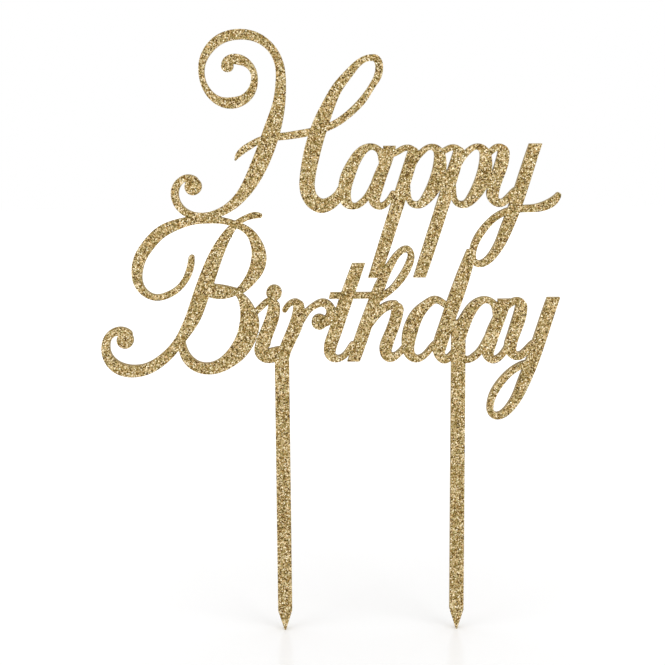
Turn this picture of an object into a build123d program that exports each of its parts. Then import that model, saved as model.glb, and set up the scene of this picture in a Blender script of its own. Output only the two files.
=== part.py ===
from build123d import *
from collections.abc import Callable
from dataclasses import dataclass
from enum import Enum
import math
import os

# A two-line cake topper: joined, pen-drawn letters of rigid sheet on two stakes, with a film of
# glitter on the front and the back. X runs along the writing, Z is up and the front faces -Y.
# The origin is midway between the tips of the stakes, in the middle of the sheet.

# Sheet, in millimetres
CORE_THICKNESS = 2.4
FILM_THICKNESS = 0.3

# Lettering, in millimetres: the ruled height of the small letters, the pen and the round ends
X_HEIGHT = 21.0
HAIRLINE_WIDTH = 1.75
STEM_WIDTH = 4.4
BALL_DIAMETER = 5.5
DOT_DIAMETER = 5.1
CURL_DIAMETER = 3.9

# Stakes, in millimetres: STAKE_REACH is from the tips up to the base line of the lower writing
STAKE_WIDTH = 4.7
STAKE_REACH = 92.0
STAKE_TIP_LENGTH = 6.8
STAKE_TIP_WIDTH = 0.4

# Places as shares of X_HEIGHT: the step between base lines, the stakes' distance from the middle
# and the height of their flat tops above the lower base line
LINE_PITCH_SHARE = 2.40
STAKE_PLACE_SHARE = 1.38
LEFT_STAKE_TOP_SHARE = 0.18
RIGHT_STAKE_TOP_SHARE = 0.47

# Pen steps: the step along a stroke as a share of X_HEIGHT, and how near to the pen's centre line,
# as a share of its half width, an edge point inside a tight bend may lie
STEP_SHARE = 0.07
BEND_SHARE = 0.90

# Strokes: each row holds a place across and above the letter's own origin on the base line, as
# shares of X_HEIGHT, and the pen's pressure as a share of the way from hairline to stem
CAP_H_SPIRAL_SHARES = (
    (-0.73, 2.22, 0.60), (-0.67, 2.29, 0.50), (-0.57, 2.29, 0.60), (-0.43, 2.235, 0.35),
    (-0.325, 2.095, 0.10), (-0.315, 1.95, 0.15), (-0.365, 1.805, 0.35), (-0.48, 1.69, 0.55),
    (-0.67, 1.635, 0.70), (-0.86, 1.67, 0.40), (-1.035, 1.83, 0.10), (-1.11, 2.04, 0.00),
    (-1.10, 2.24, 0.15), (-1.01, 2.425, 0.40), (-0.835, 2.585, 0.55), (-0.57, 2.66, 0.60),
    (-0.285, 2.62, 0.50), (-0.065, 2.465, 0.35), (0.065, 2.215, 0.40), (0.085, 1.92, 0.60),
    (0.055, 1.63, 0.85), (-0.03, 1.305, 1.30), (-0.165, 0.915, 1.45), (-0.335, 0.54, 1.25),
    (-0.52, 0.25, 0.80), (-0.76, 0.03, 0.45), (-1.09, -0.09, 0.25), (-1.43, -0.01, 0.20),
    (-1.56, 0.20, 0.25), (-1.53, 0.39, 0.25), (-1.40, 0.495, 0.20), (-1.27, 0.455, 0.45),
)
CAP_H_RISE_SHARES = (
    (-0.62, 0.78, -0.40), (-0.555, 0.875, 0.10), (-0.405, 0.985, 0.20), (-0.24, 1.07, 0.15),
    (0.10, 1.125, 0.20), (0.48, 1.18, 0.25), (0.74, 1.24, 0.20), (0.955, 1.34, 0.20),
    (1.165, 1.50, 0.20), (1.355, 1.70, 0.20), (1.475, 1.88, 0.10), (1.56, 2.03, 0.25),
    (1.58, 2.17, 0.25), (1.55, 2.27, 0.25),
)
CAP_H_RETURN_SHARES = (
    (1.47, 2.30, 0.15), (1.29, 2.24, 0.15), (1.13, 2.08, 0.40), (0.945, 1.855, 0.65),
    (0.82, 1.62, 0.90), (0.715, 1.385, 1.20), (0.59, 1.025, 1.35), (0.53, 0.79, 1.35),
    (0.485, 0.55, 1.25), (0.47, 0.36, 1.20), (0.53, 0.165, 1.10), (0.685, 0.06, 1.05),
    (0.855, 0.12, 0.80), (1.00, 0.29, 0.60),
)
CAP_H_CURL_SHARES = (-0.72, 2.19)
CAP_H_BALL_SHARES = (-1.28, 0.37)

CAP_B_SWASH_SHARES = (
    (0.10, 1.67, 0.05), (0.06, 1.46, 0.20), (-0.02, 1.30, 0.15), (-0.14, 1.17, 0.10),
    (-0.305, 1.08, 0.10), (-0.45, 1.05, 0.05), (-0.635, 1.125, 0.15), (-0.74, 1.30, 0.45),
    (-0.745, 1.49, 0.70), (-0.69, 1.68, 0.85), (-0.58, 1.85, 0.90), (-0.36, 2.07, 0.85),
    (-0.10, 2.19, 0.60), (0.15, 2.25, 0.35), (0.38, 2.26, 0.25), (0.60, 2.24, 0.10),
    (0.80, 2.18, 0.10), (1.00, 2.06, 0.30), (1.105, 1.885, 0.75), (1.145, 1.69, 1.15),
    (1.11, 1.505, 1.20), (0.985, 1.30, 0.70), (0.85, 1.16, 0.30), (0.76, 1.11, -0.10),
)
CAP_B_WAIST_SHARES = ((0.26, 1.19, 0.40), (0.48, 1.14, 1.10), (0.64, 1.13, 0.85), (0.81, 1.14, 0.00))
CAP_B_BELLY_SHARES = (
    (0.74, 1.14, -0.25), (0.83, 1.08, 0.10), (0.905, 0.97, 0.65), (0.955, 0.83, 1.20),
    (0.98, 0.65, 1.75), (0.94, 0.45, 1.80), (0.81, 0.21, 1.60), (0.655, 0.055, 1.20),
    (0.45, -0.06, 0.85), (0.29, -0.08, 0.70), (0.12, -0.03, 0.60), (-0.015, 0.105, 0.50),
    (-0.07, 0.245, 0.35), (-0.09, 0.37, 0.35),
)
CAP_B_STEM_SHARES = (
    (1.17, 2.315, -0.10), (1.08, 2.32, 0.10), (0.96, 2.285, 0.05), (0.84, 2.22, 0.10),
    (0.685, 2.06, 0.45), (0.575, 1.89, 0.80), (0.465, 1.67, 1.10), (0.36, 1.41, 1.30),
    (0.18, 0.93, 1.30), (0.105, 0.735, 1.20), (0.03, 0.595, 1.00), (-0.075, 0.425, 0.70),
    (-0.215, 0.235, 0.60), (-0.41, 0.05, 0.65), (-0.64, -0.08, 0.70), (-0.86, -0.115, 0.80),
    (-1.085, -0.06, 0.80), (-1.25, 0.125, 0.50), (-1.27, 0.30, 0.35), (-1.215, 0.445, 0.30),
    (-1.075, 0.52, 0.35), (-0.93, 0.465, 0.60),
)
CAP_B_BALL_SHARES = (-0.965, 0.38)

SMALL_A_BOWL_SHARES = (
    (0.21, 0.64, 0.20), (0.195, 0.80, 0.35), (0.135, 0.915, 0.15), (0.03, 0.96, 0.10), (-0.12, 0.89, 0.50),
    (-0.245, 0.715, 0.80), (-0.34, 0.50, 1.05), (-0.385, 0.28, 0.90), (-0.34, 0.10, 0.55),
    (-0.25, 0.05, 0.10), (-0.145, 0.09, 0.10), (-0.045, 0.19, 0.10), (0.05, 0.36, 0.10),
)
SMALL_A_STEM_SHARES = (
    (0.305, 0.97, 0.85), (0.16, 0.50, 0.90), (0.085, 0.26, 0.90), (0.08, 0.115, 0.65),
    (0.17, 0.05, 0.20), (0.26, 0.10, 0.05), (0.315, 0.165, 0.05), (0.36, 0.24, 0.05),
)

SMALL_P_ENTRY_SHARES = (
    (-0.05, 0.85, 0.05), (0.04, 0.885, 0.05), (0.14, 0.935, 0.05), (0.23, 0.93, 0.10), (0.27, 0.87, 0.30),
)
SMALL_P_STEM_SHARES = ((0.27, 0.86, 0.75), (0.16, 0.50, 0.85), (-0.33, -1.06, 0.80))
SMALL_P_BOWL_SHARES = (
    (0.21, 0.57, 0.00), (0.33, 0.79, 0.05), (0.42, 0.89, 0.05), (0.54, 0.95, 0.05),
    (0.64, 0.90, 0.45), (0.68, 0.73, 0.85), (0.665, 0.57, 1.05), (0.58, 0.325, 1.00),
    (0.48, 0.17, 0.65), (0.34, 0.065, 0.20), (0.235, 0.10, 0.10), (0.19, 0.21, 0.05), (0.175, 0.36, 0.10),
)

SMALL_Y_ENTRY_SHARES = (
    (-0.43, 0.82, 0.10), (-0.345, 0.89, 0.05), (-0.27, 0.935, 0.15), (-0.18, 0.92, 0.25), (-0.15, 0.85, 0.30),
)
SMALL_Y_CUP_SHARES = (
    (-0.17, 0.86, 0.75), (-0.225, 0.60, 0.90), (-0.31, 0.335, 0.80), (-0.33, 0.21, 0.80),
    (-0.29, 0.12, 0.50), (-0.21, 0.085, 0.30), (-0.115, 0.135, 0.20), (0.025, 0.27, 0.25),
)
SMALL_Y_STEM_SHARES = (
    (0.32, 0.99, 0.80), (0.15, 0.45, 0.90), (-0.06, -0.18, 0.85), (-0.12, -0.33, 0.80),
    (-0.185, -0.49, 0.65), (-0.305, -0.70, 0.40), (-0.415, -0.815, 0.25),
)
SMALL_Y_RETURN_SHARES = (
    (-0.52, -0.855, 0.15), (-0.61, -0.81, 0.15), (-0.63, -0.69, 0.15), (-0.595, -0.54, 0.20),
    (-0.485, -0.345, 0.20), (-0.37, -0.21, 0.15), (-0.23, -0.10, 0.15), (-0.05, -0.03, 0.15),
)
SMALL_Y_FLOURISH_SHARES = (
    (0.16, -0.005, 0.20), (0.30, 0.00, 0.25), (0.455, 0.03, 0.40), (0.60, 0.105, 0.35), (0.68, 0.20, 0.00),
)

SMALL_I_ENTRY_SHARES = (
    (-0.15, 0.75, 0.05), (-0.08, 0.84, 0.05), (0.00, 0.915, 0.10), (0.10, 0.985, 0.10), (0.17, 0.96, 0.30),
)
SMALL_I_STEM_SHARES = (
    (0.175, 0.90, 0.80), (0.155, 0.75, 1.00), (0.055, 0.48, 1.05), (-0.01, 0.30, 1.10),
    (-0.03, 0.195, 1.05), (0.055, 0.12, 1.10), (0.14, 0.125, 1.10), (0.24, 0.155, 1.00),
)
SMALL_I_DOT_SHARES = (0.18, 1.115)

SMALL_R_ENTRY_SHARES = ((0.055, 0.845, 0.00), (0.105, 0.915, 0.00), (0.195, 0.965, 0.10), (0.26, 0.93, 0.35))
SMALL_R_STEM_SHARES = ((0.27, 0.90, 0.70), (0.25, 0.69, 1.00), (0.14, 0.41, 0.95), (0.00, 0.00, 1.05))
SMALL_R_EAR_SHARES = (
    (0.25, 0.58, 0.10), (0.355, 0.75, 0.20), (0.45, 0.86, 0.10), (0.54, 0.92, 0.15),
    (0.65, 0.95, 0.30), (0.735, 0.905, 0.40), (0.775, 0.81, 0.55), (0.745, 0.705, 0.60), (0.64, 0.655, 0.60),
)
SMALL_R_BALL_SHARES = (0.59, 0.65)

SMALL_T_STEM_SHARES = (
    (0.445, 1.565, 0.85), (0.225, 0.94, 1.00), (0.04, 0.39, 0.95), (-0.005, 0.24, 0.90),
    (0.01, 0.115, 0.60), (0.09, 0.065, 0.20), (0.195, 0.095, 0.05), (0.28, 0.19, 0.05), (0.345, 0.285, 0.05),
)
SMALL_T_BAR_SHARES = ((0.005, 1.11), (0.66, 1.11), (0.62, 1.015), (-0.02, 1.015))

SMALL_H_RISE_SHARES = (
    (0.34, 0.96, 0.10), (0.47, 1.06, 0.15), (0.585, 1.145, 0.10), (0.71, 1.28, 0.25),
    (0.815, 1.435, 0.30), (0.885, 1.60, 0.25), (0.895, 1.71, 0.15),
)
SMALL_H_RETURN_SHARES = (
    (0.84, 1.78, 0.15), (0.73, 1.74, 0.10), (0.61, 1.59, 0.25), (0.51, 1.41, 0.40),
    (0.415, 1.205, 0.70), (0.335, 0.99, 0.80), (0.155, 0.48, 0.95), (0.00, 0.02, 0.80),
)
SMALL_H_ARCH_SHARES = (
    (0.18, 0.51, 0.20), (0.305, 0.685, 0.30), (0.415, 0.815, 0.40), (0.54, 0.895, 0.40), (0.65, 0.905, 0.45),
)
SMALL_H_LIMB_SHARES = (
    (0.69, 0.84, 0.85), (0.645, 0.63, 0.80), (0.55, 0.375, 0.85), (0.505, 0.23, 0.90),
    (0.515, 0.135, 0.75), (0.585, 0.085, 0.55), (0.675, 0.115, 0.15), (0.755, 0.185, 0.10), (0.84, 0.28, 0.10),
)

SMALL_D_BOWL_SHARES = (
    (0.19, 0.86, 0.15), (0.09, 0.93, 0.15), (-0.02, 0.985, 0.20), (-0.185, 0.895, 0.50),
    (-0.305, 0.765, 0.90), (-0.38, 0.62, 1.10), (-0.43, 0.46, 1.15), (-0.455, 0.29, 0.95),
    (-0.42, 0.12, 0.60), (-0.32, 0.055, 0.20), (-0.22, 0.09, 0.05), (-0.135, 0.175, 0.05), (0.00, 0.31, 0.05),
)
SMALL_D_STEM_SHARES = (
    (0.53, 1.77, 0.45), (0.25, 0.92, 1.10), (0.105, 0.48, 1.05), (0.045, 0.28, 1.05),
    (0.04, 0.125, 0.75), (0.12, 0.045, 0.40), (0.22, 0.105, 0.15), (0.29, 0.23, 0.10),
)
SMALL_D_LINK_SHARES = ((0.16, 0.53, 0.75), (0.27, 0.56, 0.75), (0.38, 0.59, 0.75))


class Cap(Enum):
    """How a stroke ends: round, level with the writing, or cut square across."""

    ROUND = "round"
    LEVEL = "level"
    SQUARE = "square"


class Side(Enum):
    """The edges of a stroke, as the turn in degrees from the pen's heading."""

    LEFT = 90
    RIGHT = -90


class Row(Enum):
    """The lines of writing, as steps up from the lower one."""

    LOWER = 0
    UPPER = 1


@dataclass(frozen=True)
class Nib:
    """The pen at one place on its path."""

    centre: Vector
    heading: Vector
    half_width: float

    def edge(self, side):
        """Point of the stroke's edge, at a right angle to the heading on one side."""
        return self.centre + self.heading.rotate(Axis.Z, side.value) * self.half_width

    def tip(self, direction):
        """Foremost point of a round end that faces along or against the heading."""
        return self.centre + self.heading * self.half_width * direction

    def levelled(self):
        """The same stroke measured along the writing, for an end that is cut level."""
        rise = self.heading.Y
        return Nib(self.centre, Vector(0, math.copysign(1, rise)), self.half_width / abs(rise))


def pen_path(rows):
    """Curve through the rows of a stroke, with the pen's half width as its third coordinate."""
    spread = STEM_WIDTH - HAIRLINE_WIDTH
    return Spline([
        (across * X_HEIGHT, up * X_HEIGHT, (HAIRLINE_WIDTH + pressure * spread) / 2)
        for across, up, pressure in rows
    ])


def nib_at(path, position):
    """The pen at a position from 0 to 1 along its path."""
    place = path @ position
    heading = path % position
    return Nib(Vector(place.X, place.Y), Vector(heading.X, heading.Y).normalized(), place.Z)


def stroke_edge(nibs, side):
    """One edge of a stroke, without the points that the inside of a tight bend swallows."""
    first, *middle, last = [nib.edge(side) for nib in nibs]
    kept = [
        point for point in middle
        if all((point - nib.centre).length > nib.half_width * BEND_SHARE for nib in nibs)
    ]
    return Spline([first, *kept, last])


def stroke_end(nib, cap, direction):
    """The short edge that closes a stroke at its start or its end."""
    if cap is Cap.ROUND:
        return ThreePointArc(nib.edge(Side.LEFT), nib.tip(direction), nib.edge(Side.RIGHT))
    return Line(nib.edge(Side.LEFT), nib.edge(Side.RIGHT))


def ribbon(path, start, end, start_cap, end_cap):
    """Outline that the pen leaves between two positions on its path."""
    count = math.ceil((end - start) * path.length / (STEP_SHARE * X_HEIGHT))
    nibs = [nib_at(path, start + (end - start) * step / count) for step in range(count + 1)]
    if start_cap is Cap.LEVEL:
        nibs[0] = nibs[0].levelled()
    if end_cap is Cap.LEVEL:
        nibs[-1] = nibs[-1].levelled()
    return make_face([
        stroke_edge(nibs, Side.LEFT),
        stroke_end(nibs[-1], end_cap, 1),
        stroke_edge(nibs, Side.RIGHT),
        stroke_end(nibs[0], start_cap, -1),
    ])


def stroke(rows, start_cap=Cap.ROUND, end_cap=Cap.ROUND, return_rows=()):
    """Outline of a whole stroke, made in two halves if it turns and comes back across itself."""
    path = pen_path(rows + return_rows)
    if not return_rows:
        return ribbon(path, 0, 1, start_cap, end_cap)
    turn = path.param_at_point(pen_path(return_rows) @ 0)
    return ribbon(path, 0, turn, start_cap, Cap.SQUARE) + ribbon(path, turn, 1, Cap.SQUARE, end_cap)


def ball(place_shares, diameter):
    """Round end of a stroke, or a dot."""
    across, up = place_shares
    return Pos(across * X_HEIGHT, up * X_HEIGHT) * Circle(diameter / 2)


def cap_h():
    """Capital H: the spiral left stem, and the right stem that loops back into the crossbar."""
    left = stroke(CAP_H_SPIRAL_SHARES)
    right = stroke(CAP_H_RISE_SHARES, return_rows=CAP_H_RETURN_SHARES)
    return left + right + ball(CAP_H_CURL_SHARES, CURL_DIAMETER) + ball(CAP_H_BALL_SHARES, BALL_DIAMETER)


def cap_b():
    """Capital B: the swash and upper bowl, the waist, the belly and the curled stem."""
    bowls = stroke(CAP_B_SWASH_SHARES) + stroke(CAP_B_WAIST_SHARES) + stroke(CAP_B_BELLY_SHARES)
    return bowls + stroke(CAP_B_STEM_SHARES) + ball(CAP_B_BALL_SHARES, BALL_DIAMETER)


def small_a():
    """Small a: the bowl and the stem with its exit hook."""
    return stroke(SMALL_A_BOWL_SHARES) + stroke(SMALL_A_STEM_SHARES, start_cap=Cap.LEVEL)


def small_p():
    """Small p: the entry hairline, the long stem and the bowl."""
    stem = stroke(SMALL_P_STEM_SHARES, end_cap=Cap.LEVEL)
    return stem + stroke(SMALL_P_ENTRY_SHARES) + stroke(SMALL_P_BOWL_SHARES)


def small_y(flourish_rows=()):
    """Small y: the entry hairline, the cup and the stem with its loop, which a flourish may carry on."""
    loop_rows = SMALL_Y_RETURN_SHARES + flourish_rows
    stem = stroke(SMALL_Y_STEM_SHARES, start_cap=Cap.LEVEL, return_rows=loop_rows)
    return stem + stroke(SMALL_Y_ENTRY_SHARES) + stroke(SMALL_Y_CUP_SHARES)


def flourished_y():
    """Small y whose loop runs on into a flourish."""
    return small_y(SMALL_Y_FLOURISH_SHARES)


def small_i():
    """Small i: the entry hairline, the stem with its hook and the dot that sits on it."""
    stem = stroke(SMALL_I_STEM_SHARES)
    return stem + stroke(SMALL_I_ENTRY_SHARES) + ball(SMALL_I_DOT_SHARES, DOT_DIAMETER)


def small_r():
    """Small r: the entry hairline, the stem and the ear with its ball."""
    stem = stroke(SMALL_R_STEM_SHARES, end_cap=Cap.LEVEL)
    ear = stroke(SMALL_R_EAR_SHARES) + ball(SMALL_R_BALL_SHARES, DOT_DIAMETER)
    return stem + stroke(SMALL_R_ENTRY_SHARES) + ear


def small_t():
    """Small t: the stem with its exit hook and the crossbar."""
    corners = [(across * X_HEIGHT, up * X_HEIGHT) for across, up in SMALL_T_BAR_SHARES]
    crossbar = make_face(Polyline(corners, close=True))
    return stroke(SMALL_T_STEM_SHARES, start_cap=Cap.LEVEL) + crossbar


def small_h():
    """Small h: the looped stem, the arch and the limb with its exit hook."""
    stem = stroke(SMALL_H_RISE_SHARES, end_cap=Cap.LEVEL, return_rows=SMALL_H_RETURN_SHARES)
    return stem + stroke(SMALL_H_ARCH_SHARES) + stroke(SMALL_H_LIMB_SHARES)


def small_d():
    """Small d: the bowl, the tall stem with its exit hook and the link that leads to the next letter."""
    stem = stroke(SMALL_D_STEM_SHARES, start_cap=Cap.LEVEL)
    return stem + stroke(SMALL_D_BOWL_SHARES) + stroke(SMALL_D_LINK_SHARES)


def stake(place_share, top_share):
    """Straight stake with a flat top among the letters and a sharp tip at the bottom."""
    across = place_share * X_HEIGHT
    top = STAKE_REACH + top_share * X_HEIGHT
    half = [(STAKE_TIP_WIDTH / 2, 0), (STAKE_WIDTH / 2, STAKE_TIP_LENGTH), (STAKE_WIDTH / 2, top)]
    other_half = [(-side, up) for side, up in reversed(half)]
    return Pos(across, 0) * make_face(Polyline(half + other_half, close=True))


@dataclass(frozen=True)
class Letter:
    """Where a shape goes: along its line, larger than it was drawn, and above its base line."""

    shape: Callable
    place_share: float
    row: Row
    size_share: float = 1.0
    lift_share: float = 0.0

    def outline(self):
        """The letter's outline in its place among the writing."""
        base_line = STAKE_REACH + self.row.value * LINE_PITCH_SHARE * X_HEIGHT
        place = Pos(self.place_share * X_HEIGHT, base_line + self.lift_share * X_HEIGHT)
        return place * scale(self.shape(), self.size_share)


# Letters, from the one that keeps its whole outline at a join to the one that is cut there, with
# their places and sizes as shares of X_HEIGHT
LETTER_SHARES = {
    "birthday_y": Letter(small_y, 2.53, Row.LOWER, 1.02),
    "birthday_a": Letter(small_a, 1.77, Row.LOWER, 1.04, -0.02),
    "birthday_d": Letter(small_d, 1.05, Row.LOWER),
    "birthday_h": Letter(small_h, -0.26, Row.LOWER),
    "birthday_t": Letter(small_t, -0.62, Row.LOWER),
    "birthday_r": Letter(small_r, -1.38, Row.LOWER),
    "birthday_i": Letter(small_i, -1.67, Row.LOWER),
    "birthday_b": Letter(cap_b, -2.86, Row.LOWER),
    "happy_y": Letter(flourished_y, 2.22, Row.UPPER),
    "happy_second_p": Letter(small_p, 1.10, Row.UPPER),
    "happy_first_p": Letter(small_p, 0.40, Row.UPPER),
    "happy_a": Letter(small_a, 0.00, Row.UPPER),
    "happy_h": Letter(cap_h, -1.43, Row.UPPER),
}


def whole_outlines():
    """Every stake and letter in its place, before the joins are cut."""
    outlines = {
        "left_stake": stake(-STAKE_PLACE_SHARE, LEFT_STAKE_TOP_SHARE),
        "right_stake": stake(STAKE_PLACE_SHARE, RIGHT_STAKE_TOP_SHARE),
    }
    for name, letter in LETTER_SHARES.items():
        outlines[name] = letter.outline()
    return outlines


def joined_outlines():
    """The outlines cut against those before them, so that neighbours meet edge to edge.

    What a neighbour cuts off a letter is left out, so that every piece stays whole.
    """
    joined = {}
    earlier = []
    for name, outline in whole_outlines().items():
        cut = outline - earlier if earlier else outline
        joined[name] = cut.faces().sort_by(SortBy.AREA)[-1]
        earlier.append(outline)
    return joined


def layers(outline):
    """The core and the two glitter films of one piece of the sheet, as solids that touch."""
    core_face = Plane.XZ.offset(-CORE_THICKNESS / 2)
    front_face = Plane.XZ.offset(CORE_THICKNESS / 2)
    back_face = Plane.XZ.offset(-CORE_THICKNESS / 2 - FILM_THICKNESS)
    return {
        "core": extrude(core_face * outline, CORE_THICKNESS),
        "front_glitter": extrude(front_face * outline, FILM_THICKNESS),
        "back_glitter": extrude(back_face * outline, FILM_THICKNESS),
    }


def main():
    """Writes one file for each layer of each piece."""
    os.makedirs("parts", exist_ok=True)
    for name, outline in joined_outlines().items():
        for layer, solid in layers(outline).items():
            export_step(solid, f"parts/{name}_{layer}.step")


if __name__ == "__main__":
    main()
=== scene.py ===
"""Looks of a two-line cake topper: rigid lettering on two stakes, with glitter on both faces.

Each film of glitter is a thin lacquer sheet with metal flakes pressed into it. The core between the
films keeps its own shape and shows only along the cut edges. Lengths are in metres.
"""

import logging
import math
from dataclasses import dataclass
from enum import Enum
from typing import Any, Optional, Union

import bmesh
import bpy
from mathutils import Color, Euler, Matrix, Vector


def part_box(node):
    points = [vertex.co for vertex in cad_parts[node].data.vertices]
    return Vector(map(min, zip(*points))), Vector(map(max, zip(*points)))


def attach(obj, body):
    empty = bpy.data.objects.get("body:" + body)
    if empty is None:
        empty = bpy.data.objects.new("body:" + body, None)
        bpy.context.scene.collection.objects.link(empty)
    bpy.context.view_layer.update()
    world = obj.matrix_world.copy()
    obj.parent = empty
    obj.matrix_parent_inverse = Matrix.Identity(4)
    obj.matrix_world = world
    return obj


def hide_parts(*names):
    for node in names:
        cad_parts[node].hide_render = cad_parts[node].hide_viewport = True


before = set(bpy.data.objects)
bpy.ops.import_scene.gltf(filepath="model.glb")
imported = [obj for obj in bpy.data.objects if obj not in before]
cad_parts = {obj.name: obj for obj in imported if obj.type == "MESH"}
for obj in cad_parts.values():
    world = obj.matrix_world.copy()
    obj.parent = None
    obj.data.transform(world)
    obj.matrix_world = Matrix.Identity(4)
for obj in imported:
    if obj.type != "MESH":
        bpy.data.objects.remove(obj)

log = logging.getLogger("cake_topper")

MM = 0.001
PHOTO_SIDE = 665
BODY = "root"
CORE_ENDING = "_core"

# Layers of a film's mesh: its map for baking, and what is known of each flake
BAKE_MAP = "OFBake"
# Each flake's tone, which paints its shade and glint
SHADE_GLINT_LAYER = "flake_tone"
HUE_LAYER = "flake_hue"
FLAKE_LAYER = "is_flake"

Colour = tuple[float, float, float, float]
Stops = tuple[tuple[float, Colour], ...]
Box = tuple[Vector, Vector]

FULL_LEVEL = 255
OPAQUE = 1.0
WHITE: Colour = (1.0, 1.0, 1.0, OPAQUE)
NOISE_MIDDLE = 0.5


def screen_colour(red: int, green: int, blue: int) -> Colour:
    """Turns a colour as a screen shows it into the linear values that the nodes take.

    Args:
        red: Red from 0 to 255.
        green: Green from 0 to 255.
        blue: Blue from 0 to 255.

    Returns:
        The linear colour with full alpha.
    """
    shown = Color([level / FULL_LEVEL for level in (red, green, blue)])
    return (*shown.from_srgb_to_scene_linear(), OPAQUE)


def placed(name: str, data: bpy.types.ID) -> bpy.types.Object:
    """Puts a new object at the origin of the scene.

    Args:
        name: The object's name.
        data: Its mesh, lamp or camera.

    Returns:
        The object.
    """
    made = bpy.data.objects.new(name, data)
    bpy.context.scene.collection.objects.link(made)
    return made


class Wire:
    """The output of a node, ready for use in an expression."""

    def __init__(self, graph: "Graph", socket: bpy.types.NodeSocket) -> None:
        """Keeps the socket and the graph that it belongs to."""
        self.graph = graph
        self.socket = socket

    def maths(self, operation: str, first: "Value", second: "Value" = 0.0) -> "Wire":
        """Adds a Math node.

        Args:
            operation: The Math node's operation.
            first: Its first value.
            second: Its second value.

        Returns:
            The result.
        """
        return self.graph.node("ShaderNodeMath", {"operation": operation}, {0: first, 1: second})["Value"]

    def __add__(self, other: "Value") -> "Wire":
        """Sum."""
        return self.maths("ADD", self, other)

    __radd__ = __add__

    def __sub__(self, other: "Value") -> "Wire":
        """Difference."""
        return self.maths("SUBTRACT", self, other)

    def __rsub__(self, other: "Value") -> "Wire":
        """Difference from a number."""
        return self.maths("SUBTRACT", other, self)

    def __mul__(self, other: "Value") -> "Wire":
        """Product."""
        return self.maths("MULTIPLY", self, other)

    __rmul__ = __mul__

    def __truediv__(self, other: "Value") -> "Wire":
        """Quotient."""
        return self.maths("DIVIDE", self, other)

    def __rtruediv__(self, other: "Value") -> "Wire":
        """Quotient of a number."""
        return self.maths("DIVIDE", other, self)

    def __pow__(self, other: "Value") -> "Wire":
        """Power."""
        return self.maths("POWER", self, other)

    def __rpow__(self, other: "Value") -> "Wire":
        """Power of a number."""
        return self.maths("POWER", other, self)

    def __gt__(self, other: "Value") -> "Wire":
        """One where this is the greater, else zero."""
        return self.maths("GREATER_THAN", self, other)

    def __lt__(self, other: "Value") -> "Wire":
        """One where a number is greater than this, else zero."""
        return self.maths("LESS_THAN", self, other)

    def __or__(self, other: "Value") -> "Wire":
        """The greater of two, which is one where either of them is."""
        return self.maths("MAXIMUM", self, other)

    __ror__ = __or__

    def __abs__(self) -> "Wire":
        """Distance from zero."""
        return self.maths("ABSOLUTE", self)


Value = Union[Wire, float, int, bool, str, tuple, Vector]


class Outputs:
    """The outputs of one node, by name."""

    def __init__(self, graph: "Graph", node: bpy.types.Node) -> None:
        """Keeps the node and the graph that it belongs to."""
        self.graph = graph
        self.node = node

    def __getitem__(self, name: str) -> Wire:
        """The output with this name."""
        return Wire(self.graph, Graph.pick(self.node.outputs, name))


class Graph:
    """A node tree that is being wired up."""

    def __init__(self, tree: bpy.types.NodeTree) -> None:
        """Starts from an empty tree."""
        self.tree = tree
        tree.nodes.clear()

    @staticmethod
    def pick(sockets: bpy.types.bpy_prop_collection, key: Union[str, int]) -> bpy.types.NodeSocket:
        """Finds a socket of a node.

        Args:
            sockets: The node's inputs or outputs.
            key: The socket's place among them, or its name.

        Returns:
            The socket, or the one in use where several share the name.
        """
        if isinstance(key, int):
            return sockets[key]
        return next(socket for socket in sockets if socket.name == key and socket.enabled)

    def node(
        self,
        kind: str,
        settings: Optional[dict[str, Any]] = None,
        sockets: Optional[dict[Union[str, int], Value]] = None,
    ) -> Outputs:
        """Adds a node.

        Args:
            kind: The node's type.
            settings: Its settings, or the stops of a ramp, which are set first.
            sockets: Values or links for its inputs.

        Returns:
            The node's outputs.
        """
        node = self.tree.nodes.new(kind)
        for name, setting in (settings or {}).items():
            if name == "stops":
                self.set_stops(node.color_ramp, setting)
            else:
                setattr(node, name, setting)
        for key, value in (sockets or {}).items():
            socket = self.pick(node.inputs, key)
            if isinstance(value, Wire):
                self.tree.links.new(value.socket, socket)
            else:
                socket.default_value = value
        return Outputs(self, node)

    @staticmethod
    def set_stops(ramp: bpy.types.ColorRamp, stops: Stops) -> None:
        """Gives a colour ramp its stops.

        Args:
            ramp: The ramp of a new node.
            stops: Places from 0 to 1 with their colours, in order.
        """
        while len(ramp.elements) < len(stops):
            ramp.elements.new(1.0)
        for element, (place, colour) in zip(ramp.elements, stops):
            element.position = place
            element.color = colour


def off_mirrors(path: Outputs) -> Wire:
    """Whether a ray, as its Light Path node tells, comes off metal or through glass."""
    return path["Is Glossy Ray"] | path["Is Transmission Ray"]


# Tones of the gold, from a flake in shade to one that catches the light
REDDISH_TONES: Stops = (
    (0.00, screen_colour(76, 41, 0)),
    (0.22, screen_colour(124, 85, 17)),
    (0.52, screen_colour(178, 142, 80)),
    (0.77, screen_colour(218, 185, 134)),
    (0.91, screen_colour(249, 221, 177)),
    (1.00, screen_colour(255, 238, 204)),
)
GREENISH_TONES: Stops = (
    (0.00, screen_colour(61, 46, 0)),
    (0.22, screen_colour(107, 91, 26)),
    (0.52, screen_colour(164, 151, 94)),
    (0.77, screen_colour(206, 193, 144)),
    (0.91, screen_colour(243, 229, 188)),
    (1.00, screen_colour(255, 245, 214)),
)


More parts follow.
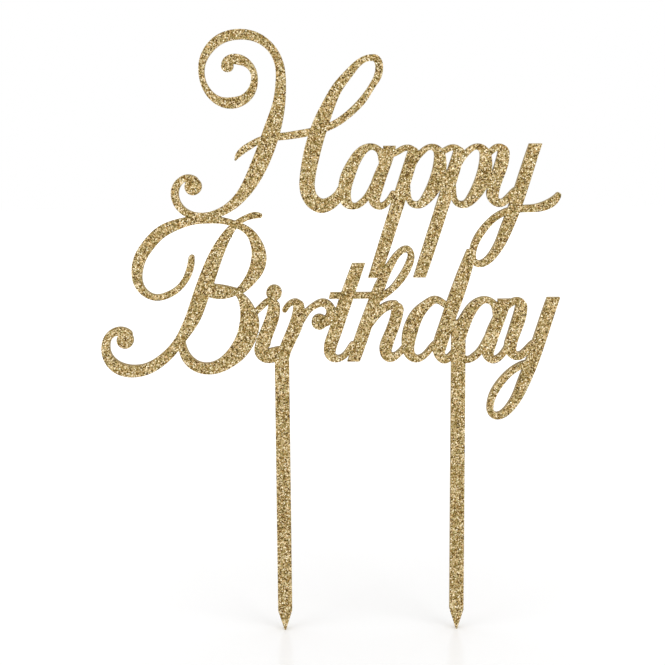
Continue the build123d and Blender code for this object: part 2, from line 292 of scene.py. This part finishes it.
class ShaderGraph(Graph):
    """The node tree of a material, with the parts that several finishes use."""

    def __init__(self, name: str) -> None:
        """Makes an empty material.

        Args:
            name: The finish in plain words.
        """
        self.material = bpy.data.materials.new(name)
        self.material.use_nodes = True
        super().__init__(self.material.node_tree)

    def finish(self, sockets: dict[str, Value]) -> bpy.types.Material:
        """Closes the tree with one Principled shader.

        Args:
            sockets: Values or links for the shader.

        Returns:
            The material.
        """
        shader = self.node("ShaderNodeBsdfPrincipled", {}, sockets)["BSDF"]
        self.node("ShaderNodeOutputMaterial", {}, {"Surface": shader})
        return self.material

    def gold(self, tone: Value, hue: Value) -> Wire:
        """Gold of a given tone and hue.

        Args:
            tone: From 0 for dark to 1 for bright.
            hue: From 0 for reddish to 1 for greenish.

        Returns:
            The colour.
        """
        reddish, greenish = (
            self.node("ShaderNodeValToRGB", {"stops": stops}, {"Fac": tone})["Color"]
            for stops in (REDDISH_TONES, GREENISH_TONES)
        )
        return self.node(
            "ShaderNodeMix", {"data_type": "RGBA"}, {"Factor": hue, "A": reddish, "B": greenish}
        )["Result"]

    def face_place(self) -> Wire:
        """The place on a face of the sheet, which is the same on front and back.

        Returns:
            A vector: along the writing, up, and zero.
        """
        place = self.node("ShaderNodeTexCoord")["Object"]
        axes = self.node("ShaderNodeSeparateXYZ", {}, {"Vector": place})
        return self.node("ShaderNodeCombineXYZ", {}, {"X": axes["X"], "Y": axes["Z"]})["Vector"]


@dataclass(frozen=True)
class FlakeFinish:
    """Metallised glitter flakes in tones of gold: a dark flake is painted shade and a bright one a painted
    glint, for the way each flake's tilt catches the light.
    """

    metallic: float = 0.80
    roughness: float = 0.34

    def material(self) -> bpy.types.Material:
        """Makes the material, which reads each flake's hue and its tone of painted shade and glint.

        Returns:
            The material.
        """
        graph = ShaderGraph("Gold flakes")
        tone, hue = (
            graph.node("ShaderNodeAttribute", {"attribute_name": layer})["Fac"]
            for layer in (SHADE_GLINT_LAYER, HUE_LAYER)
        )
        # The tone paints the flake's shade and glint into its colour
        colour = graph.gold(tone, hue)
        return graph.finish({"Base Color": colour, "Metallic": self.metallic, "Roughness": self.roughness})


@dataclass(frozen=True)
class FilmFinish:
    """Lacquer packed with glitter dust, seen between the flakes and along the rims.

    Attributes:
        grain: Width of a grain of dust.
        relief: Height of the grains.
        step_share: Share of the relief that sets a grain off from the next. The rest hollows it.
        metallic: How metallic the dust is.
        smooth: Roughness of the smoothest grain.
        dull: Roughness of the dullest grain.
        brightest: Tone of the brightest grain, the strongest painted glint.
    """

    grain: float = 0.30 * MM
    relief: float = 0.04 * MM
    step_share: float = 0.5
    metallic: float = 0.55
    smooth: float = 0.30
    dull: float = 0.55
    brightest: float = 0.95

    def material(self) -> bpy.types.Material:
        """Makes the material: grains of dust, each with its own gloss and height, and a tone from painted
        shade to painted glint.

        Returns:
            The material.
        """
        graph = ShaderGraph("Glitter film")
        grains = graph.node(
            "ShaderNodeTexVoronoi",
            {"voronoi_dimensions": "2D"},
            {"Vector": graph.face_place(), "Scale": 1 / self.grain},
        )
        chances = graph.node("ShaderNodeSeparateColor", {}, {"Color": grains["Color"]})
        height = chances["Blue"] * self.step_share + grains["Distance"] * (1 - self.step_share)
        normal = graph.node("ShaderNodeBump", {}, {"Distance": self.relief, "Height": height})["Normal"]
        return graph.finish({
            # The grains' tones paint their shade and glints into the colour
            "Base Color": graph.gold(chances["Red"] * self.brightest, chances["Green"]),
            "Metallic": self.metallic,
            "Roughness": self.smooth + chances["Green"] * (self.dull - self.smooth),
            "Normal": normal,
        })


@dataclass(frozen=True)
class CutEdgeFinish:
    """The gold core sheet along its cut edges, with the fine lines that the cutter leaves across it.

    Attributes:
        half_thickness: Half the thickness of the core.
        line_width: Width of a cutter line.
        patch_width: Width of a lighter or darker patch, about.
        relief: Depth of the cutter lines.
        tone: Tone of the edge, to which lines and patches add.
        line_contrast: Most that a line adds to the tone.
        patch_contrast: Most that a patch adds to the tone.
        face_darkening: How much darker the edge is towards both faces.
        face_darkening_power: How close to the faces the darkening keeps.
        metallic: How metallic the edge is.
        gloss: Level of its highlights.
        smooth: Roughness at the bottom of a line.
        dull: Roughness at the top of a line.
    """

    half_thickness: float
    line_width: float = 0.22 * MM
    patch_width: float = 8.0 * MM
    relief: float = 0.03 * MM
    tone: float = 0.20
    line_contrast: float = 0.35
    patch_contrast: float = 0.20
    face_darkening: float = 0.12
    face_darkening_power: float = 4.0
    metallic: float = 0.50
    gloss: float = 0.15
    smooth: float = 0.42
    dull: float = 0.62

    def material(self) -> bpy.types.Material:
        """Makes the material: cut lines across the edge, browner towards both faces.

        Returns:
            The material.
        """
        graph = ShaderGraph("Cut edge of the core")
        place = graph.node("ShaderNodeTexCoord")["Object"]
        depth = abs(graph.node("ShaderNodeSeparateXYZ", {}, {"Vector": place})["Y"]) / self.half_thickness
        lines = graph.node(
            "ShaderNodeTexNoise",
            {"noise_dimensions": "2D"},
            {"Vector": graph.face_place(), "Scale": 1 / self.line_width},
        )["Fac"]
        patches = graph.node(
            "ShaderNodeTexNoise", {}, {"Vector": place, "Scale": 1 / self.patch_width}
        )["Fac"]
        bare = self.tone + lines * self.line_contrast + patches * self.patch_contrast
        normal = graph.node("ShaderNodeBump", {}, {"Distance": self.relief, "Height": lines})["Normal"]
        return graph.finish({
            # The colour is darker towards both faces of the sheet
            "Base Color": graph.gold(bare - depth ** self.face_darkening_power * self.face_darkening, patches),
            "Metallic": self.metallic,
            "Specular IOR Level": self.gloss,
            "Roughness": self.smooth + lines * (self.dull - self.smooth),
            "Normal": normal,
        })


@dataclass(frozen=True)
class FloorFinish:
    """White paper with a faint sheen, which glows by itself for what its own light lacks of white.

    Attributes:
        shadow_share: Share of the white that is lit, and can be shaded, at the foot of the topper.
        shadow_reach: Distance from there at which only the glow is left.
        paper_level: Brightness of white paper under these lamps, where nothing shades it.
        roughness: Roughness of the paper.
        sheen: Level of its highlights.
    """

    shadow_share: float = 0.90
    shadow_reach: float = 0.30
    paper_level: float = 0.965
    roughness: float = 0.20
    sheen: float = 0.15

    def material(self) -> bpy.types.Material:
        """Makes the material.

        Returns:
            The material.
        """
        graph = ShaderGraph("White floor")
        path = graph.node("ShaderNodeLightPath")
        camera, mirrored = path["Is Camera Ray"], off_mirrors(path)
        place = graph.node("ShaderNodeTexCoord")["Object"]
        away = graph.node("ShaderNodeVectorMath", {"operation": "LENGTH"}, {0: place})["Value"]
        lit = graph.node(
            "ShaderNodeMapRange",
            {"interpolation_type": "SMOOTHSTEP"},
            {"Value": away, "From Max": self.shadow_reach, "To Min": self.shadow_share, "To Max": 0.0},
        )["Result"]
        return graph.finish({
            "Base Color": 1 - camera * (1 - lit) - mirrored,
            "Roughness": self.roughness,
            "Specular IOR Level": self.sheen,
            "Emission Color": camera * (1 - lit * self.paper_level) + mirrored,
            "Emission Strength": 1.0,
        })


class Side(Enum):
    """The faces of the sheet, which both carry glitter."""

    FRONT = ("front", -1, 1000)
    BACK = ("back", 1, 2000)

    def __init__(self, word: str, facing: int, first_seed: int) -> None:
        """Gives a side's values their names.

        Args:
            word: The side in a piece's name.
            facing: Which way along Y it faces.
            first_seed: Seed of its first film.
        """
        self.word = word
        self.facing = facing
        self.first_seed = first_seed

    @property
    def outward(self) -> Vector:
        """The direction that the glitter faces."""
        return Vector((0, self.facing, 0))

    def node(self, part: str) -> str:
        """Name of the film's node on a letter or a stake."""
        return f"{part}_{self.word}_glitter"


class Draw(Enum):
    """What is drawn at random for each flake, with the number that it adds to the film's seed."""

    LEAN = 1
    SIZE = 2
    TONE = 3
    HUE = 4


@dataclass
class FlakeScatter:
    """Metal flakes strewn over the outer face of a film and pressed into it at all angles.

    Attributes:
        width: Width of the largest flake, across its corners.
        thickness: Thickness of a flake.
        spacing: Least distance between the middles of two flakes.
        proud: How far a flake's middle stands out of the film.
        overhang: Most that a flake may hang over a cut edge.
        tilt: Most that a flake leans to any side.
        smallest: Width of the smallest flake, as a share of the largest.
        cluster_width: Width of a group of like flakes, about.
        cluster_share: How much such a group shifts its flakes' tone and hue.
        sides: Number of a flake's sides.
        most_per_area: Points tried on a square metre, before those that stand too close go.
        rim_angle: Least angle between two faces that meet at a film's rim.
        least_cosine: Least cosine of the angle between the outer face and its outward direction.
        patch: Width of a flake on the map.
        strip: Share of the map's height that the film takes. The flakes take the rest.
    """

    width: float = 0.58 * MM
    thickness: float = 0.02 * MM
    spacing: float = 0.43 * MM
    proud: float = 0.035 * MM
    overhang: float = 0.05 * MM
    tilt: float = math.radians(18)
    smallest: float = 0.70
    cluster_width: float = 1.4 * MM
    cluster_share: float = 1.36
    sides: int = 6
    most_per_area: float = 2.0e7
    rim_angle: float = math.radians(45)
    least_cosine: float = 0.9
    patch: float = 0.012
    strip: float = 0.90

    def __post_init__(self) -> None:
        """Builds the node tree, once for all films."""
        self.tree = bpy.data.node_groups.new("Glitter flakes", "GeometryNodeTree")
        kinds = {"Film": "Geometry", "Whole face": "Object", "Outward": "Vector"}
        kinds |= dict.fromkeys(self.sizes(), "Float")
        kinds |= {"Seed": "Int", "Material": "Material"}
        self.inputs: dict[str, str] = {}
        for name, kind in kinds.items():
            socket = self.tree.interface.new_socket(name, in_out="INPUT", socket_type=f"NodeSocket{kind}")
            self.inputs[name] = socket.identifier
        self.tree.interface.new_socket("Piece", in_out="OUTPUT", socket_type="NodeSocketGeometry")
        self.graph = Graph(self.tree)
        self.given = self.graph.node("NodeGroupInput")
        flakes = self.flakes(self.places())
        piece = self.mapped(self.joined(flakes))
        painted = self.graph.node(
            "GeometryNodeSetMaterial",
            {},
            {"Geometry": piece, "Selection": self.flag(), "Material": self.given["Material"]},
        )["Geometry"]
        self.graph.node("NodeGroupOutput", {}, {"Piece": painted})

    def sizes(self) -> dict[str, float]:
        """The tree's inputs for its sizes, by name."""
        return {
            "Width": self.width,
            "Thickness": self.thickness,
            "Spacing": self.spacing,
            "Proud": self.proud,
            "Overhang": self.overhang,
            "Tilt": self.tilt,
            "Smallest": self.smallest,
            "Cluster width": self.cluster_width,
            "Cluster share": self.cluster_share,
        }

    def vector(self, operation: str, *values: Value, output: str = "Vector") -> Wire:
        """Adds a Vector Math node.

        Args:
            operation: The node's operation.
            values: Its inputs in order, with the scale of a SCALE in the second place.
            output: The output that is wanted.

        Returns:
            The result.
        """
        keys = ("Vector", "Scale") if operation == "SCALE" else (0, 1)
        sockets = dict(zip(keys, values))
        return self.graph.node("ShaderNodeVectorMath", {"operation": operation}, sockets)[output]

    def here(self) -> Wire:
        """The place of whatever the next node works on."""
        return self.graph.node("GeometryNodeInputPosition")["Position"]

    def chance(self, kind: str, low: Value, high: Value, draw: Draw) -> Wire:
        """A number or vector drawn anew for each flake.

        Args:
            kind: FLOAT or FLOAT_VECTOR.
            low: The least.
            high: The most.
            draw: What it is for, which keeps it apart from the other draws.

        Returns:
            The drawn value.
        """
        seed = self.given["Seed"] + draw.value
        return self.graph.node(
            "FunctionNodeRandomValue", {"data_type": kind}, {"Min": low, "Max": high, "Seed": seed}
        )["Value"]

    def layer(self, kind: str, name: str) -> Wire:
        """Reads a named attribute.

        Args:
            kind: The attribute's data type.
            name: Its name.

        Returns:
            Its value.
        """
        read = self.graph.node("GeometryNodeInputNamedAttribute", {"data_type": kind}, {"Name": name})
        return read["Attribute"]

    def flag(self) -> Wire:
        """Whether a place belongs to a flake, not to the film."""
        return self.layer("BOOLEAN", FLAKE_LAYER)

    def stored(self, geometry: Wire, kind: str, domain: str, name: str, value: Value, **more: Value) -> Wire:
        """Writes a named attribute.

        Args:
            geometry: What gets the attribute.
            kind: The attribute's data type.
            domain: Where it is kept.
            name: Its name.
            value: Its value.
            more: Other inputs of the node.

        Returns:
            The geometry with the attribute.
        """
        sockets = {"Geometry": geometry, "Name": name, "Value": value} | more
        settings = {"data_type": kind, "domain": domain}
        return self.graph.node("GeometryNodeStoreNamedAttribute", settings, sockets)["Geometry"]

    def outer_face(self) -> Wire:
        """Takes the film's outer face by itself, because points on its other faces would crowd flakes out.

        Returns:
            The outer face.
        """
        normal = self.graph.node("GeometryNodeInputNormal")["Normal"]
        cosine = self.vector("DOT_PRODUCT", normal, self.given["Outward"], output="Value")
        return self.graph.node(
            "GeometryNodeSeparateGeometry",
            {"domain": "FACE"},
            {"Geometry": self.given["Film"], "Selection": cosine > self.least_cosine},
        )["Selection"]

    def places(self) -> Outputs:
        """Strews points over the outer face, evenly and at random."""
        return self.graph.node(
            "GeometryNodeDistributePointsOnFaces",
            {"distribute_method": "POISSON"},
            {
                "Mesh": self.outer_face(),
                "Distance Min": self.given["Spacing"],
                "Density Max": self.most_per_area,
                "Seed": self.given["Seed"],
            },
        )

    def inside(self, points: Wire) -> Wire:
        """Takes away the points whose flakes would hang over the cut edge of the lettering.

        Args:
            points: The strewn points.

        Returns:
            The points that stay. A flake across the join of two letters stays too.
        """
        angle = self.graph.node("GeometryNodeInputMeshEdgeAngle")["Unsigned Angle"]
        rims = self.graph.node(
            "GeometryNodeSeparateGeometry",
            {"domain": "EDGE"},
            {"Geometry": self.given["Film"], "Selection": angle > self.rim_angle},
        )["Selection"]
        rim = self.graph.node("GeometryNodeProximity", {"target_element": "EDGES"}, {"Geometry": rims})
        reach = self.given["Width"] / 2
        here = self.here()
        towards = self.vector("NORMALIZE", self.vector("SUBTRACT", rim["Position"], here))
        tip = self.vector("ADD", here, self.vector("SCALE", towards, reach))
        whole = self.graph.node("GeometryNodeObjectInfo", {}, {"Object": self.given["Whole face"]})
        off = self.graph.node(
            "GeometryNodeProximity",
            {"target_element": "FACES"},
            {"Geometry": whole["Geometry"], "Sample Position": tip},
        )["Distance"]
        hangs = (reach > rim["Distance"]) * (off > self.given["Overhang"])
        return self.graph.node(
            "GeometryNodeDeleteGeometry", {"domain": "POINT"}, {"Geometry": points, "Selection": hangs}
        )["Geometry"]

    def flakes(self, strewn: Outputs) -> Wire:
        """Sets a flake on every point that stays.

        Args:
            strewn: The strewn points and the way the face turns at each.

        Returns:
            The flakes as instances, each with its own tone and hue.
        """
        lift = self.vector("SCALE", self.given["Outward"], self.given["Proud"])
        raised = self.graph.node(
            "GeometryNodeSetPosition", {}, {"Geometry": self.inside(strewn["Points"]), "Offset": lift}
        )["Geometry"]
        flakes = self.graph.node(
            "GeometryNodeInstanceOnPoints",
            {},
            {
                "Points": raised,
                "Instance": self.flake(),
                "Rotation": self.leaning(strewn["Rotation"]),
                "Scale": self.chance("FLOAT", self.given["Smallest"], 1.0, Draw.SIZE),
            },
        )["Instances"]
        return self.stored(self.tinted(flakes), "BOOLEAN", "INSTANCE", FLAKE_LAYER, True)

    def flake(self) -> Wire:
        """Makes one flat flake, with its own small patch of the map.

        Returns:
            The flake's mesh.
        """
        plate = self.graph.node(
            "GeometryNodeMeshCylinder",
            {"fill_type": "NGON"},
            {"Vertices": self.sides, "Radius": self.given["Width"] / 2, "Depth": self.given["Thickness"]},
        )["Mesh"]
        flat = self.graph.node("GeometryNodeSetShadeSmooth", {}, {"Geometry": plate, "Shade Smooth": False})
        patch = self.vector("SCALE", self.here(), self.patch / self.given["Width"])
        return self.stored(flat["Geometry"], "FLOAT2", "CORNER", BAKE_MAP, patch)

    def leaning(self, flat: Wire) -> Wire:
        """Spins every flake and leans it out of the face at random.

        Args:
            flat: The rotation of a flake that lies flat on the face.

        Returns:
            The flake's own rotation.
        """
        tilt = self.given["Tilt"]
        most = self.graph.node("ShaderNodeCombineXYZ", {}, {"X": tilt, "Y": tilt, "Z": math.pi})["Vector"]
        least = self.vector("SCALE", most, -1.0)
        lean = self.chance("FLOAT_VECTOR", least, most, Draw.LEAN)
        turn = self.graph.node("FunctionNodeEulerToRotation", {}, {"Euler": lean})["Rotation"]
        return self.graph.node(
            "FunctionNodeRotateRotation", {"rotation_space": "LOCAL"}, {"Rotation": flat, "Rotate By": turn}
        )["Rotation"]

    def tinted(self, flakes: Wire) -> Wire:
        """Gives every flake a hue of gold and a tone of painted shade and glint, both drifting over the face
        so that like flakes gather.

        Args:
            flakes: The flakes as instances.

        Returns:
            The flakes with their tones and hues.
        """
        noise = self.graph.node(
            "ShaderNodeTexNoise", {}, {"Vector": self.here(), "Scale": 1 / self.given["Cluster width"]}
        )["Color"]
        drift = self.graph.node("FunctionNodeSeparateColor", {}, {"Color": noise})
        # The drift paints lighter and darker patches of flakes, as well as patches of hue
        for draw, name, channel in ((Draw.TONE, SHADE_GLINT_LAYER, "Red"), (Draw.HUE, HUE_LAYER, "Green")):
            drawn = self.chance("FLOAT", 0.0, 1.0, draw)
            shift = (drift[channel] - NOISE_MIDDLE) * self.given["Cluster share"]
            value = self.graph.node(
                "ShaderNodeMath", {"operation": "ADD", "use_clamp": True}, {0: drawn, 1: shift}
            )["Value"]
            flakes = self.stored(flakes, "FLOAT", "INSTANCE", name, value)
        return flakes

    def joined(self, flakes: Wire) -> Wire:
        """Joins film and flakes, and lays the film out on the map as it is seen from the front.

        Args:
            flakes: The flakes as instances.

        Returns:
            Film and flakes as one mesh.
        """
        box = self.graph.node("GeometryNodeBoundBox", {}, {"Geometry": self.given["Film"]})
        span = self.vector("SUBTRACT", box["Max"], box["Min"])
        share = self.vector("DIVIDE", self.vector("SUBTRACT", self.here(), box["Min"]), span)
        axes = self.graph.node("ShaderNodeSeparateXYZ", {}, {"Vector": share})
        up = axes["Z"] * self.strip
        laid = self.graph.node("ShaderNodeCombineXYZ", {}, {"X": axes["X"], "Y": up})["Vector"]
        film = self.stored(self.given["Film"], "FLOAT2", "CORNER", BAKE_MAP, laid)
        both = self.graph.node("GeometryNodeJoinGeometry", {}, {"Geometry": film})
        # The one input of this node takes several links
        self.tree.links.new(flakes.socket, both.node.inputs[0])
        return self.graph.node("GeometryNodeRealizeInstances", {}, {"Geometry": both["Geometry"]})["Geometry"]

    def mapped(self, piece: Wire) -> Wire:
        """Lays the flakes out by tone and hue on a strip of the map that the film leaves free.

        Args:
            piece: Film and flakes as one mesh.

        Returns:
            The mesh with its map.
        """
        tone = self.layer("FLOAT", SHADE_GLINT_LAYER)
        hue = self.layer("FLOAT", HUE_LAYER)
        across = self.patch + tone * (1 - 2 * self.patch)
        up = self.strip + self.patch + hue * (1 - self.strip - 2 * self.patch)
        spot = self.graph.node("ShaderNodeCombineXYZ", {}, {"X": across, "Y": up})["Vector"]
        place = self.vector("ADD", self.layer("FLOAT_VECTOR", BAKE_MAP), spot)
        return self.stored(piece, "FLOAT2", "CORNER", BAKE_MAP, place, Selection=self.flag())

    def strew(
        self,
        film: bpy.types.Object,
        side: Side,
        whole: bpy.types.Object,
        seed: int,
        finish: bpy.types.Material,
    ) -> None:
        """Turns a bare film into a film with flakes.

        Args:
            film: The bare film, which becomes a plain mesh with flakes.
            side: The side of the sheet that it is on.
            whole: All films of that side in one object.
            seed: The film's own seed.
            finish: The flakes' material.
        """
        modifier = film.modifiers.new("Glitter flakes", "NODES")
        modifier.node_group = self.tree
        values = self.sizes() | {
            "Whole face": whole, "Outward": side.outward, "Seed": seed, "Material": finish,
        }
        for name, value in values.items():
            modifier[self.inputs[name]] = value
        graph = bpy.context.evaluated_depsgraph_get()
        mesh = bpy.data.meshes.new_from_object(
            film.evaluated_get(graph), preserve_all_data_layers=True, depsgraph=graph
        )
        film.modifiers.clear()
        film.data = mesh
        # The flakes' own mesh brings an empty slot, which no face uses
        mesh.materials.pop(index=list(mesh.materials).index(None))


@dataclass
class GlitterFace:
    """All the glitter on one side of the topper: a film with flakes for each letter and stake.

    Attributes:
        side: The side.
        parts: Names of the letters and stakes.
        scatter: What strews the flakes.
        recess: How far a film's outer face is drawn back, to make room for the flakes.
        weld: Corners of the solid's triangles that are closer than this become one.
        seed_step: From one film's seed to the next.
    """

    side: Side
    parts: list[str]
    scatter: FlakeScatter
    recess: float = 0.17 * MM
    weld: float = 0.001 * MM
    seed_step: int = 10

    def bare_film(self, part: str) -> bpy.types.Mesh:
        """Copies a film's solid, with its outer face drawn back.

        Args:
            part: The letter or stake.

        Returns:
            A closed mesh.
        """
        node = self.side.node(part)
        low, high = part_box(node)
        middle = (low.y + high.y) / 2
        shape = bmesh.new()
        shape.from_mesh(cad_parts[node].data)
        bmesh.ops.remove_doubles(shape, verts=shape.verts, dist=self.weld)
        for vertex in shape.verts:
            if (vertex.co.y - middle) * self.side.facing > 0:
                vertex.co.y -= self.side.facing * self.recess
        shape.verts.index_update()
        corners = [tuple(vertex.co) for vertex in shape.verts]
        faces = [[vertex.index for vertex in polygon.verts] for polygon in shape.faces]
        shape.free()
        mesh = bpy.data.meshes.new(f"{part}_{self.side.word}_film")
        mesh.from_pydata(corners, [], faces)
        return mesh

    def whole_face(self, films: list[bpy.types.Mesh]) -> bpy.types.Object:
        """Joins the bare films, to tell a join of two letters from a cut edge.

        Args:
            films: The bare films of this side.

        Returns:
            A helper object, which is removed when the flakes are in place.
        """
        shape = bmesh.new()
        for film in films:
            shape.from_mesh(film)
        mesh = bpy.data.meshes.new("whole_face")
        shape.to_mesh(mesh)
        shape.free()
        return placed("whole_face", mesh)

    def build(self, film_finish: bpy.types.Material, flake_finish: bpy.types.Material) -> None:
        """Makes, dresses and places every film of this side.

        Args:
            film_finish: The material between the flakes.
            flake_finish: The flakes' material.
        """
        films = {part: self.bare_film(part) for part in self.parts}
        helper = self.whole_face(list(films.values()))
        for turn, (part, mesh) in enumerate(films.items()):
            mesh.materials.append(film_finish)
            piece = placed(mesh.name, mesh)
            seed = self.side.first_seed + turn * self.seed_step
            self.scatter.strew(piece, self.side, helper, seed, flake_finish)
            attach(piece, BODY)
            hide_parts(self.side.node(part))
            log.info("%s: %d faces", piece.name, len(piece.data.polygons))
        bpy.data.objects.remove(helper)


@dataclass
class CoreSheet:
    """The rigid sheet between the films, letter by letter and stake by stake.

    Attributes:
        parts: Names of the letters and stakes.
    """

    parts: list[str]

    def half_thickness(self) -> float:
        """Half the thickness of the sheet, from the model."""
        low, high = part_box(self.parts[0] + CORE_ENDING)
        return (high.y - low.y) / 2

    def dress(self) -> None:
        """Gives every core its cut edge."""
        finish = CutEdgeFinish(self.half_thickness()).material()
        for part in self.parts:
            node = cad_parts[part + CORE_ENDING]
            node.data.materials.clear()
            node.data.materials.append(finish)
            log.info("%s dressed", node.name)


@dataclass(frozen=True)
class Lamp:
    """A large soft lamp that points at the middle of the topper.

    Attributes:
        name: The lamp's name.
        place: Where it hangs.
        power: Its power in watts.
        side: Length of its sides.
        aim: What it points at.
    """

    name: str
    place: Vector
    power: float
    side: float = 0.70
    aim: Vector = Vector((0, 0, 0.10))

    def build(self) -> None:
        """Hangs the lamp."""
        data = bpy.data.lights.new(self.name, "AREA")
        data.size = self.side
        data.energy = self.power
        lamp = placed(self.name, data)
        lamp.location = self.place
        lamp.rotation_euler = (self.aim - self.place).to_track_quat("-Z", "Y").to_euler()


@dataclass
class Studio:
    """White floor and surroundings, soft lamps and the camera.

    Attributes:
        camera_place: Where the camera stands.
        camera_pitch: How far it is tipped up from looking straight down.
        camera_roll: How far it is turned about its line of sight.
        focal_pixels: Its focal length in pixels of the photograph.
        sensor: Width of its sensor in millimetres.
        nearest: Distance from which it sees.
        floor_side: Length of the floor's sides.
        floor_drop: How far the floor lies below the tips of the stakes.
        world_level: Brightness of the surroundings as the topper is lit by them.
        lamps: A key lamp in front to the right, and a weaker, lower one in front to the left.
    """

    camera_place: Vector = Vector((-12.30 * MM, -495.81 * MM, 189.42 * MM))
    camera_pitch: float = math.radians(80.0)
    camera_roll: float = math.radians(-0.405)
    focal_pixels: float = 1534.08
    sensor: float = 36.0
    nearest: float = 10 * MM
    floor_side: float = 3.0
    floor_drop: float = 0.02 * MM
    world_level: float = 0.82
    lamps: tuple[Lamp, ...] = (
        Lamp("Key lamp", Vector((0.70, -0.75, 0.62)), 2.8),
        Lamp("Fill lamp", Vector((-0.85, -0.62, 0.36)), 2.4),
    )

    def build_camera(self) -> None:
        """Sets the camera where the photograph was taken from."""
        data = bpy.data.cameras.new("Camera")
        data.sensor_width = self.sensor
        data.lens = self.focal_pixels * self.sensor / PHOTO_SIDE
        data.clip_start = self.nearest
        camera = placed("Camera", data)
        turn = Euler((self.camera_pitch, 0, self.camera_roll), "ZYX")
        camera.matrix_world = Matrix.LocRotScale(self.camera_place, turn, None)
        bpy.context.scene.camera = camera

    def build_world(self) -> None:
        """Surrounds the topper with plain white light."""
        world = bpy.data.worlds.new("Studio")
        bpy.context.scene.world = world
        world.use_nodes = True
        graph = Graph(world.node_tree)
        path = graph.node("ShaderNodeLightPath")
        seen = path["Is Camera Ray"] | off_mirrors(path)
        strength = self.world_level + seen * (1 - self.world_level)
        light = graph.node("ShaderNodeBackground", {}, {"Color": WHITE, "Strength": strength})["Background"]
        graph.node("ShaderNodeOutputWorld", {}, {"Surface": light})

    def build_floor(self) -> None:
        """Lays a white floor that keeps a faint shadow."""
        half = self.floor_side / 2
        mesh = bpy.data.meshes.new("floor")
        corners = [(x * half, y * half, -self.floor_drop) for x, y in ((-1, -1), (1, -1), (1, 1), (-1, 1))]
        mesh.from_pydata(corners, [], [tuple(range(len(corners)))])
        mesh.materials.append(FloorFinish().material())
        placed("floor", mesh)

    def build(self) -> None:
        """Sets up everything round the topper."""
        bpy.context.scene.view_settings.view_transform = "Standard"
        self.build_camera()
        self.build_world()
        self.build_floor()
        for lamp in self.lamps:
            lamp.build()


def main() -> None:
    """Builds and dresses the topper, then the studio round it."""
    logging.basicConfig(level=logging.INFO, format="%(name)s: %(message)s")
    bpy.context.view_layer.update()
    parts = sorted(name.removesuffix(CORE_ENDING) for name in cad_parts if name.endswith(CORE_ENDING))
    CoreSheet(parts).dress()
    scatter = FlakeScatter()
    film_finish = FilmFinish().material()
    flake_finish = FlakeFinish().material()
    for side in Side:
        GlitterFace(side, parts, scatter).build(film_finish, flake_finish)
    Studio().build()


if __name__ == "__main__":
    main()
